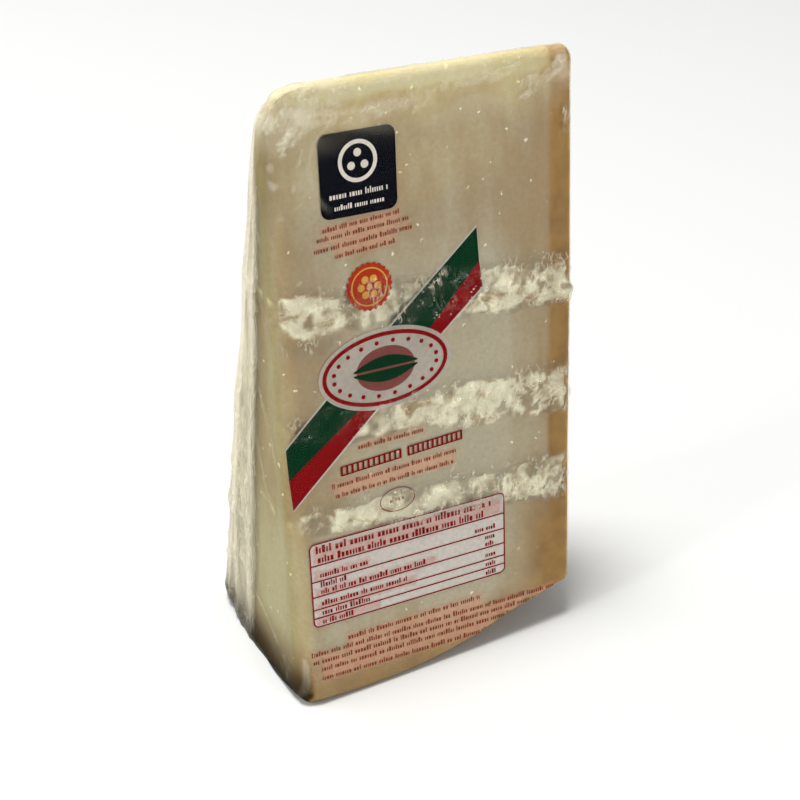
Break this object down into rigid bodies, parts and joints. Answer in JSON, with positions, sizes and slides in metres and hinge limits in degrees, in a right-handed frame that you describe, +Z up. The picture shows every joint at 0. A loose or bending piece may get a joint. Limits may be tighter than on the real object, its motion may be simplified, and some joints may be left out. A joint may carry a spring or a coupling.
{
  "type": "vacuum-packed parmesan wedge",
  "caption": "Tall narrow wedge of hard grating cheese sealed in clear printed film, standing tip up on its rounded rind, with crumbly torn bands across its cut faces.",
  "frame": {"origin": "on the flat spot of the rind that the wedge rests on, under the middle of its width and depth", "axes": "+X towards the wheel's flat rind face, -Y out of the printed front cut face, +Z up towards the tip"},
  "size_m": [0.117, 0.0712, 0.2118],
  "materials": {
    "cheese_in_film": "hard straw-coloured cheese under tight clear film",
    "cheese": "dense grainy cut cheese, cream in the torn bands, brown at the rind",
    "film": "clear glossy vacuum film, creased and folded",
    "print": "flexographic ink under the film's outer layer"
  },
  "bodies": {
    "root": {"sealed_wedge": "cheese_in_film"}
  },
  "joints": []
}
